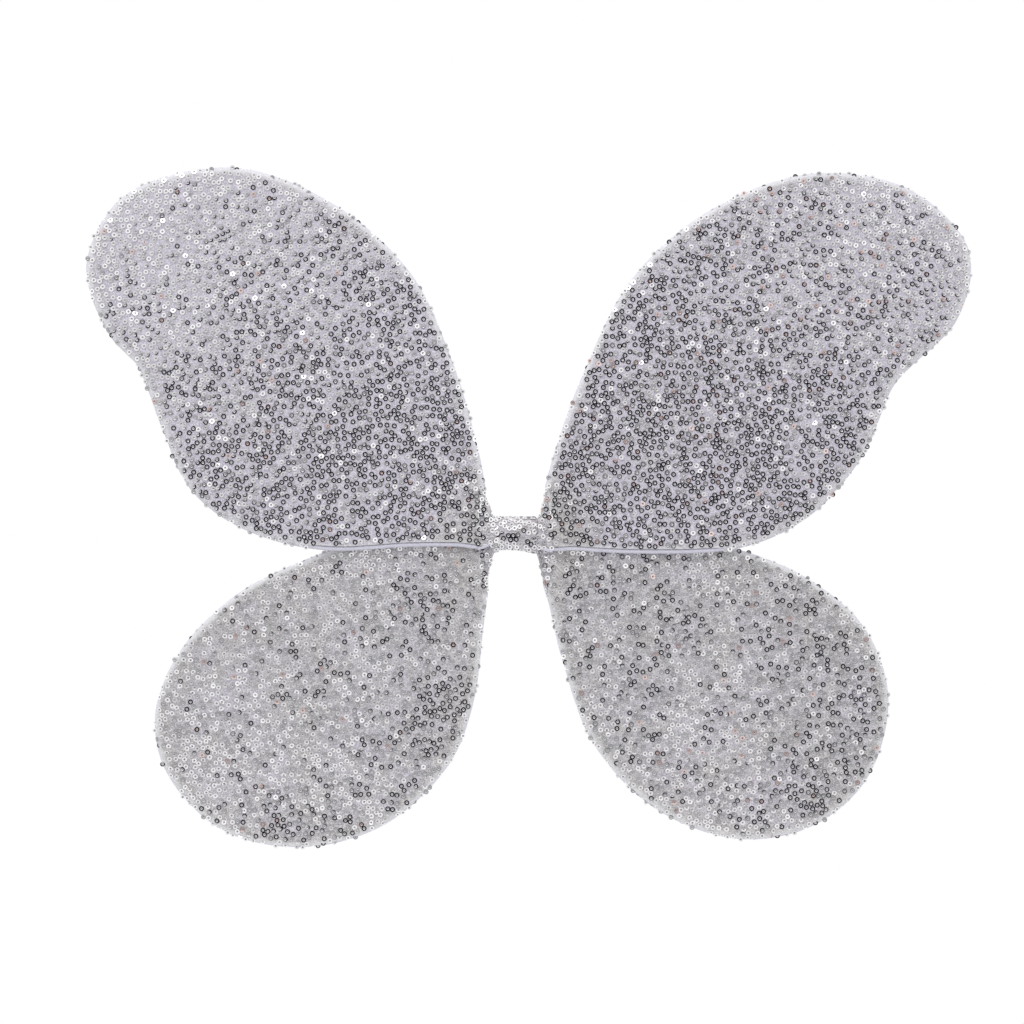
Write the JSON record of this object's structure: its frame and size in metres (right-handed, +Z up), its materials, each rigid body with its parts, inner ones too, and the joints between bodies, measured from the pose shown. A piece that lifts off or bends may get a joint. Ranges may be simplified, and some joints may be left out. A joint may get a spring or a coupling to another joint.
{
  "type": "costume fairy wings",
  "caption": "Costume butterfly wings of sequinned mesh stretched on bendable wire, joined by a short wrapped bridge with a back patch and elastic arm loops.",
  "frame": {"origin": "middle of the back patch's outer face, which lies on the wearer's spine", "axes": "+Z up, +X across the span to the wings' right as seen from the sequinned face, +Y from the patch towards the wearer; the sequinned face looks along -Y"},
  "size_m": [0.5186, 0.0202, 0.3982],
  "materials": {
    "steel_wire": "drawn spring wire",
    "ferrule_metal": "pressed, satin",
    "sequin_mesh": "fine silver-lilac net covered in small silver ring sequins",
    "lining_mesh": "fine silver-lilac net, slight sheen",
    "casing_cloth": "satin tricot",
    "elastic": "ribbed white elastic",
    "tape_cloth": "matt cloth tape",
    "patch_cloth": "soft felt"
  },
  "bodies": {
    "bridge": {"upper_bridge_wire": "steel_wire", "upper_wire_end_left": "steel_wire", "upper_wire_end_right": "steel_wire", "upper_ferrule": "ferrule_metal", "lower_bridge_wire": "steel_wire", "lower_wire_end_left": "steel_wire", "lower_wire_end_right": "steel_wire", "lower_ferrule": "ferrule_metal", "binding_tape": "tape_cloth", "centre_sleeve": "sequin_mesh", "back_patch": "patch_cloth", "left_strap_upper_end": "elastic", "left_strap_lower_end": "elastic", "right_strap_upper_end": "elastic", "right_strap_lower_end": "elastic"},
    "lower_left_wing": {"lower_left_wire": "steel_wire", "lower_left_edge_casing": "casing_cloth", "lower_left_sequin_panel": "sequin_mesh", "lower_left_back_lining": "lining_mesh"},
    "lower_right_wing": {"lower_right_wire": "steel_wire", "lower_right_edge_casing": "casing_cloth", "lower_right_sequin_panel": "sequin_mesh", "lower_right_back_lining": "lining_mesh"},
    "upper_left_wing": {"upper_left_wire": "steel_wire", "upper_left_edge_casing": "casing_cloth", "upper_left_sequin_panel": "sequin_mesh", "upper_left_back_lining": "lining_mesh"},
    "upper_right_wing": {"upper_right_wire": "steel_wire", "upper_right_edge_casing": "casing_cloth", "upper_right_sequin_panel": "sequin_mesh", "upper_right_back_lining": "lining_mesh"},
    "left_strap": {"left_arm_loop": "elastic"},
    "right_strap": {"right_arm_loop": "elastic"}
  },
  "joints": [
    {"name": "left_lower_fold", "type": "hinge", "parent": "bridge", "child": "lower_left_wing", "pos_m": [-0.017, -0.0132, 0], "axis": [0, 0, 1], "range_deg": [0, 50]},
    {"name": "left_upper_fold", "type": "hinge", "parent": "lower_left_wing", "child": "upper_left_wing", "pos_m": [-0.017, -0.0132, 0], "axis": [0, 0, 1], "range_deg": [0, 30]},
    {"name": "left_strap_swing", "type": "hinge", "parent": "bridge", "child": "left_strap", "pos_m": [-0.013, 0, 0], "axis": [0, 0, -1], "range_deg": [0, 90]},
    {"name": "right_lower_fold", "type": "hinge", "parent": "bridge", "child": "lower_right_wing", "pos_m": [0.017, -0.0132, 0], "axis": [0, 0, -1], "range_deg": [0, 50]},
    {"name": "right_upper_fold", "type": "hinge", "parent": "lower_right_wing", "child": "upper_right_wing", "pos_m": [0.017, -0.0132, 0], "axis": [0, 0, -1], "range_deg": [0, 30]},
    {"name": "right_strap_swing", "type": "hinge", "parent": "bridge", "child": "right_strap", "pos_m": [0.013, 0, 0], "axis": [0, 0, 1], "range_deg": [0, 90]}
  ]
}
